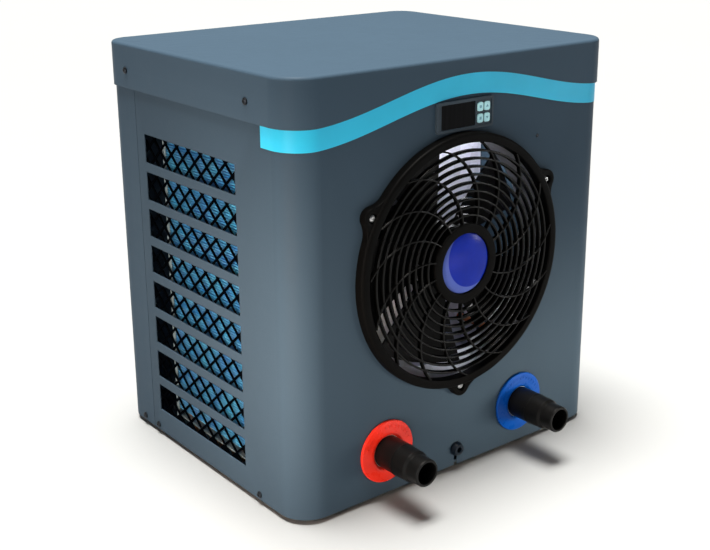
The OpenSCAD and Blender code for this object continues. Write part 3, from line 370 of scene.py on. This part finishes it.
def out_of_front(u, v, w):
    """Local point of the fan group: u to the right, v up, w out of the front, in mm."""
    return Vector((fan_centre.x + u * MM, fan_base_y - w * MM, fan_centre.z + v * MM))


def band(bm, a, b):
    """Joins two closed rings of as many points with a band of quads."""
    count = len(a)
    for j in range(count):
        k = (j + 1) % count
        bm.faces.new((a[j], b[j], b[k], a[k]))


def lathe(bm, profile, at, steps):
    """Turns a closed list of (radius, height) points round the local axis of at()."""
    rings = []
    for i in range(steps):
        a = TAU * i / steps
        rings.append([bm.verts.new(at(r * math.cos(a), r * math.sin(a), w))
                      for r, w in profile])
    for i in range(steps):
        band(bm, rings[i], rings[(i + 1) % steps])


def arc(cx, cy, r, a0, a1, steps):
    """Points of an arc, both ends included. The angles are in degrees."""
    return [(cx + r * math.cos(math.radians(a0 + (a1 - a0) * i / steps)),
             cy + r * math.sin(math.radians(a0 + (a1 - a0) * i / steps)))
            for i in range(steps + 1)]


def bar_section(centre, width, low, high, edge, steps=4):
    """Bar cross-section as (across, height) points with rounded upper edges."""
    h = width / 2
    return ([(centre - h, low), (centre + h, low)]
            + arc(centre + h - edge, high - edge, edge, 0, 90, steps)
            + arc(centre - h + edge, high - edge, edge, 90, 180, steps))


def sweep(bm, path, section, at):
    """Sweeps an (across, height) section along a flat path of (u, v) points."""
    rings = []
    for i, (u, v) in enumerate(path):
        u0, v0 = path[max(i - 1, 0)]
        u1, v1 = path[min(i + 1, len(path) - 1)]
        length = math.hypot(u1 - u0, v1 - v0)
        nu, nv = (v1 - v0) / length, -(u1 - u0) / length
        rings.append([bm.verts.new(at(u + nu * s, v + nv * s, w)) for s, w in section])
    for a, b in zip(rings, rings[1:]):
        band(bm, a, b)
    bm.faces.new(rings[0])
    bm.faces.new(list(reversed(rings[-1])))


# ---------- fan grille, in mm, with heights above the front panel ----------

HUB_R, BAND_R, RIM_R = 47.0, 139.0, 150.0
RIM_ROUND, BAND_ROUND, HUB_ROUND, SEAT_ROUND = 4.0, 1.2, 2.0, 1.0
RIB_COUNT, RIB_W, RIB_LOW, RIB_HIGH, RIB_ROUND = 9, 2.6, 6.0, 12.0, 1.1
SPOKE_COUNT, SPOKE_BEND, SPOKE_W, SPOKE_ROUND = 15, 71.0, 2.0, 0.8
SPOKE_SWEEP = 93           # degrees of the bend circle from the hub to the rim
SPOKE_SUNK, SPOKE_PROUD = 1.0, 0.6
LUG_AT, LUG_R, LUG_H, LUG_ANGLES = 152.0, 12.0, 9.4, (30, 150, 270)
LUG_HOLLOW, LUG_ROOT = 26.0, 6.0
BADGE_R, BADGE_SEAT, HUB_BORE_R = 35.8, 10.0, 1.0
HUB_TOP = 13.0
SCREW_RECESS_R, SCREW_RECESS_FLOOR = 5.6, 5.5


def ear_outline():
    """Lug outline: the lug's circle runs into the rim through two hollow curves."""
    near, far = RIM_R + LUG_HOLLOW, LUG_R + LUG_HOLLOW
    cx = (near ** 2 - far ** 2 + LUG_AT ** 2) / (2 * LUG_AT)
    cy = math.sqrt(near ** 2 - cx ** 2)
    on_rim = math.degrees(math.atan2(cy, cx))
    on_lug = math.degrees(math.atan2(cy, cx - LUG_AT))
    upper = arc(cx, cy, LUG_HOLLOW, on_rim + 180, on_lug + 180, 10)
    lower = [(x, -y) for x, y in reversed(upper)]
    root = [(RIM_R - LUG_ROOT, -cy * 0.9), (RIM_R - LUG_ROOT, cy * 0.9)]
    return root + upper + arc(LUG_AT, 0, LUG_R, on_lug, -on_lug, 24)[1:-1] + lower


def inset(outline, distance):
    """Moves each point inwards, square to the line between its neighbours."""
    done = []
    count = len(outline)
    for i, (x, y) in enumerate(outline):
        x0, y0 = outline[i - 1]
        x1, y1 = outline[(i + 1) % count]
        length = math.hypot(x1 - x0, y1 - y0)
        done.append((x + (y1 - y0) / length * distance, y - (x1 - x0) / length * distance))
    return done


def grille_ear(bm, angle):
    """One screw lug with a rounded top edge and a sunk seat for the screw."""
    ca, sa = math.cos(math.radians(angle)), math.sin(math.radians(angle))

    def at(x, y, w):
        return out_of_front(x * ca - y * sa, x * sa + y * ca, w)

    outline = ear_outline()
    rounded = [(0.0, 0.0), (0.0, LUG_H - 1.2), (0.3, LUG_H - 0.5), (0.75, LUG_H - 0.15),
               (1.4, LUG_H)]
    rings = [[bm.verts.new(at(x, y, w)) for x, y in inset(outline, d)] for d, w in rounded]
    bm.faces.new(rings[0])
    sunk = [(SCREW_RECESS_R + 0.7, LUG_H), (SCREW_RECESS_R, LUG_H - 0.5),
            (SCREW_RECESS_R - 0.3, SCREW_RECESS_FLOOR)]
    recess = [[bm.verts.new(at(x, y, w)) for x, y in arc(LUG_AT, 0, r, 0, 360, 32)[:-1]]
              for r, w in sunk]
    bm.faces.new(recess[-1])
    for a, b in list(zip(rings, rings[1:])) + list(zip(recess, recess[1:])):
        band(bm, a, b)
    # the flat top is filled between the lug's outline and the recess
    edges = [bm.edges.get((ring[j], ring[(j + 1) % len(ring)]))
             for ring in (rings[-1], recess[0]) for j in range(len(ring))]
    bmesh.ops.triangle_fill(bm, use_beauty=True, use_dissolve=False, edges=edges)


def build_grille():
    rim = bmesh.new()
    outer = arc(RIM_R - RIM_ROUND, RIB_HIGH - RIM_ROUND, RIM_ROUND, 0, 90, 8)
    inner = arc(BAND_R + BAND_ROUND, RIB_HIGH - BAND_ROUND, BAND_ROUND, 90, 180, 4)
    lathe(rim, [(BAND_R, 0), (RIM_R, 0)] + outer + inner, out_of_front, 200)
    for angle in LUG_ANGLES:
        grille_ear(rim, angle)
    hub = ([(HUB_BORE_R, RIB_LOW), (HUB_R, RIB_LOW)]
           + arc(HUB_R - HUB_ROUND, HUB_TOP - HUB_ROUND, HUB_ROUND, 0, 90, 5)
           + arc(BADGE_R + SEAT_ROUND, HUB_TOP - SEAT_ROUND, SEAT_ROUND, 90, 180, 4)
           + [(BADGE_R, BADGE_SEAT), (HUB_BORE_R, BADGE_SEAT)])
    lathe(rim, hub, out_of_front, 120)
    rim_obj = place("grille_rim", rim, "grille_matt")

    ribs = bmesh.new()
    gap = (BAND_R - HUB_R) / (RIB_COUNT + 1)
    for i in range(1, RIB_COUNT + 1):
        section = bar_section(HUB_R + i * gap, RIB_W, RIB_LOW, RIB_HIGH, RIB_ROUND)
        lathe(ribs, section, out_of_front, 144)
    for k in range(SPOKE_COUNT):
        turn = TAU * k / SPOKE_COUNT
        ca, sa = math.cos(turn), math.sin(turn)
        path = [(u * ca - v * sa, u * sa + v * ca)
                for u, v in arc(HUB_R - 1, SPOKE_BEND, SPOKE_BEND, -90, SPOKE_SWEEP - 90, 26)]
        section = bar_section(0, SPOKE_W, RIB_LOW + SPOKE_SUNK, RIB_HIGH + SPOKE_PROUD,
                              SPOKE_ROUND, 3)
        sweep(ribs, path, section, out_of_front)
    rib_obj = place("grille_ribs", ribs, "grille_black")
    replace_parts(rim_obj, "fan_grille")
    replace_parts(rib_obj, "fan_grille")


build_grille()


# ---------- hub badge: a resin dome with a rolled edge ----------

BADGE_LIP, BADGE_DOME_R, BADGE_STEPS = 0.0012, 0.22, 128
LIP_STEPS, DOME_RINGS = 5, 13


def build_badge():
    lo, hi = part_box("hub_badge")
    radius, back, crown = (hi.x - lo.x) / 2, hi.y, lo.y
    sag = BADGE_DOME_R - math.sqrt(BADGE_DOME_R ** 2 - radius ** 2)
    inner, edge_y = radius - BADGE_LIP, crown + sag + BADGE_LIP
    profile = [(radius, back)]
    for i in range(LIP_STEPS + 1):
        a = math.radians(90 * i / LIP_STEPS)
        profile.append((inner + BADGE_LIP * math.cos(a), edge_y - BADGE_LIP * math.sin(a)))
    for i in range(1, DOME_RINGS):
        r = inner * (1 - i / DOME_RINGS)
        profile.append((r, crown + sag * (r / radius) ** 2))
    bm = bmesh.new()
    rings = [[bm.verts.new((x, y, z))
              for x, z in arc(fan_centre.x, fan_centre.z, r, 0, 360, BADGE_STEPS)[:-1]]
             for r, y in profile]
    for a, b in zip(rings, rings[1:]):
        band(bm, a, b)
    bm.faces.new(rings[0])
    tip = bm.verts.new((fan_centre.x, crown, fan_centre.z))
    for i in range(BADGE_STEPS):
        bm.faces.new((rings[-1][i], rings[-1][(i + 1) % BADGE_STEPS], tip))
    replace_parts(place("badge_dome", bm, "badge_blue"), "hub_badge")


build_badge()


# ---------- coil fins, three times as close as in the CAD ----------

FIN_PITCH, FIN_SHEET = 0.0031, 0.0012
FIN_UNEVEN, FIN_DROOP = 0.00018, 0.0003


def build_fins():
    rng = random.Random(7)
    bm = bmesh.new()
    z = coil_lo.z
    while z < coil_hi.z - 2 * FIN_SHEET:
        lift = rng.uniform(-FIN_UNEVEN, FIN_UNEVEN)
        corners = []
        for dz in (0, FIN_SHEET):
            for x, y in ((coil_lo.x, coil_lo.y), (coil_hi.x, coil_lo.y),
                         (coil_hi.x, coil_hi.y), (coil_lo.x, coil_hi.y)):
                # the outer edge of each sheet is bent down a little by handling
                droop = FIN_DROOP if x == coil_lo.x else 0
                height = min(coil_hi.z, max(coil_lo.z + dz, z + dz + lift - droop))
                corners.append(bm.verts.new((x, y, height)))
        under, over = corners[:4], corners[4:]
        bm.faces.new(reversed(under))
        bm.faces.new(over)
        band(bm, under, over)
        z += FIN_PITCH
    fins = place("coil_fins", bm, "fin_blue", smooth=False)
    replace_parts(fins, "evaporator_fins")


build_fins()


# ---------- key symbols ----------

MARK_PROUD, MARK_SUNK = 0.00008, 0.0001


def key_mark(key, outline):
    """A thin raised plain symbol on a key's face, given as (x, z) points in mm."""
    face_y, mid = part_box(key)[0].y, middle(key)
    bm = bmesh.new()
    front, back = [[bm.verts.new((mid.x + x * MM, y, mid.z + z * MM)) for x, z in outline]
                   for y in (face_y - MARK_PROUD, face_y + MARK_SUNK)]
    bm.faces.new(front)
    bm.faces.new(list(reversed(back)))
    band(bm, front, back)
    place(key + "_mark", bm, "key_mark", body=key + "_cap", smooth=False)


key_mark("key_up", [(-2.0, -1.2), (2.0, -1.2), (0.0, 1.8)])
key_mark("key_down", [(-2.0, 1.2), (0.0, -1.8), (2.0, 1.2)])
key_mark("key_set", [(-1.6, -1.6), (1.6, -1.6), (1.6, 1.6), (-1.6, 1.6)])
key_mark("key_power", arc(0, 0, 1.8, 0, 345, 23))


# ---------- studio ----------

FLOOR_HALF = 14.0
WALL_R, WALL_HEIGHT, WALL_STEPS = 13.8, 8.0, 72


def stage_piece(name, bm, **sockets):
    """Turns a bmesh into a pale grey piece of the studio."""
    me = bpy.data.meshes.new(name)
    bm.to_mesh(me)
    bm.free()
    t = Tree("studio_" + name)
    t.set(Base_Color=t.mix(t.noise(0.8), srgb(146, 149, 152), srgb(149, 152, 154)), **sockets)
    me.materials.append(t.mat)
    obj = bpy.data.objects.new(name, me)
    bpy.context.scene.collection.objects.link(obj)
    return obj


def build_floor():
    bm = bmesh.new()
    bm.faces.new([bm.verts.new((x * FLOOR_HALF, y * FLOOR_HALF, 0))
                  for x, y in ((-1, -1), (1, -1), (1, 1), (-1, 1))])
    stage_piece("floor", bm, Roughness=0.75, Specular_IOR_Level=0.2)


def build_backdrop():
    """A pale wall round the floor that only the camera sees, for the low views."""
    bm = bmesh.new()
    outline = arc(0, 0, WALL_R, 0, 360, WALL_STEPS)[:-1]
    foot, head = [[bm.verts.new((x, y, z)) for x, y in outline] for z in (0.0, WALL_HEIGHT)]
    band(bm, foot, head)
    wall = stage_piece("backdrop", bm, Roughness=0.9, Specular_IOR_Level=0.0,
                       Emission_Color=(0.97, 0.985, 1.0, 1.0), Emission_Strength=0.95)
    wall.visible_diffuse = wall.visible_glossy = wall.visible_shadow = False


def area_light(name, at, target, size, power, colour=(1, 1, 1), beam=180, diffuse=True,
               glossy=True):
    """A lamp of size (width, height) in metres and power in watts, its beam in degrees."""
    data = bpy.data.lights.new(name, "AREA")
    data.shape = "RECTANGLE"
    data.size, data.size_y = size
    data.energy = power
    data.color = colour
    data.spread = math.radians(beam)
    lamp = bpy.data.objects.new(name, data)
    lamp.location = at
    lamp.rotation_euler = (Vector(target) - Vector(at)).to_track_quat("-Z", "Y").to_euler()
    lamp.visible_camera = False
    lamp.visible_diffuse = diffuse
    lamp.visible_glossy = glossy
    bpy.context.scene.collection.objects.link(lamp)


def sun_light(name, direction, strength, angle, colour):
    data = bpy.data.lights.new(name, "SUN")
    data.energy = strength
    data.angle = math.radians(angle)
    data.color = colour
    lamp = bpy.data.objects.new(name, data)
    lamp.rotation_euler = Vector(direction).to_track_quat("-Z", "Y").to_euler()
    bpy.context.scene.collection.objects.link(lamp)


build_floor()
build_backdrop()

world = bpy.data.worlds.new("studio")
bpy.context.scene.world = world
world.use_nodes = True
sky = world.node_tree.nodes["Background"]
sky.inputs["Color"].default_value = (0.93, 0.96, 1.0, 1.0)
sky.inputs["Strength"].default_value = 0.1

sun_light("overhead", (0.05, -0.08, -1.0), strength=10.8, angle=28,
          colour=(1.0, 0.955, 0.89))
# two small warm lamps lift the left side by the corner and the lower front
area_light("corner_warm", (-0.62, -0.25, 0.16), (-0.22, -0.09, 0.2), (0.25, 0.3), power=1.2,
           colour=(1.0, 0.78, 0.62), beam=80, glossy=False)
area_light("front_low", (0.4, -0.66, 0.05), (0.13, -0.16, 0.08), (0.36, 0.16), power=0.53,
           colour=(1.0, 0.82, 0.66), beam=46, glossy=False)
# two tall strips that only show as gleams on the grille and the blades
area_light("left_strip", (-1.9, -0.75, 0.9), fan_centre, (0.07, 1.5), power=16, diffuse=False)
area_light("right_strip", (1.7, -1.5, 0.5), fan_centre, (0.07, 1.2), power=8, diffuse=False)
# daylight that comes in behind the impeller
area_light("chamber", (0.16, 0.01, 0.43), (0.17, 0.06, 0.3), (0.08, 0.04), power=0.45)

bpy.context.scene.view_settings.view_transform = "Standard"
bpy.context.scene.view_settings.look = "None"


# ---------- camera, matched to the photograph's perspective ----------

CAMERA_AT = (-0.8893, -1.099, 0.6896)
YAW, PITCH, ROLL = 0.66941, 0.3014, -0.0056    # radians: right of +Y, down, and about the view
FOCAL_PIXELS, IMAGE_WIDTH = 1186.9, 710
SENSOR = 36.0


def build_camera():
    data = bpy.data.cameras.new("camera")
    cam = bpy.data.objects.new("camera", data)
    bpy.context.scene.collection.objects.link(cam)
    forward = Vector((math.sin(YAW) * math.cos(PITCH), math.cos(YAW) * math.cos(PITCH),
                      -math.sin(PITCH)))
    level = forward.cross(Vector((0, 0, 1))).normalized()
    upright = level.cross(forward)
    right = level * math.cos(ROLL) + upright * math.sin(ROLL)
    up = upright * math.cos(ROLL) - level * math.sin(ROLL)
    axes = Matrix((right, up, -forward)).transposed()
    cam.matrix_world = Matrix.Translation(CAMERA_AT) @ axes.to_4x4()
    data.sensor_width = SENSOR
    data.lens = FOCAL_PIXELS / IMAGE_WIDTH * SENSOR
    data.shift_x, data.shift_y = -0.01, -0.05
    data.clip_start, data.clip_end = 0.05, 60.0
    bpy.context.scene.camera = cam


build_camera()
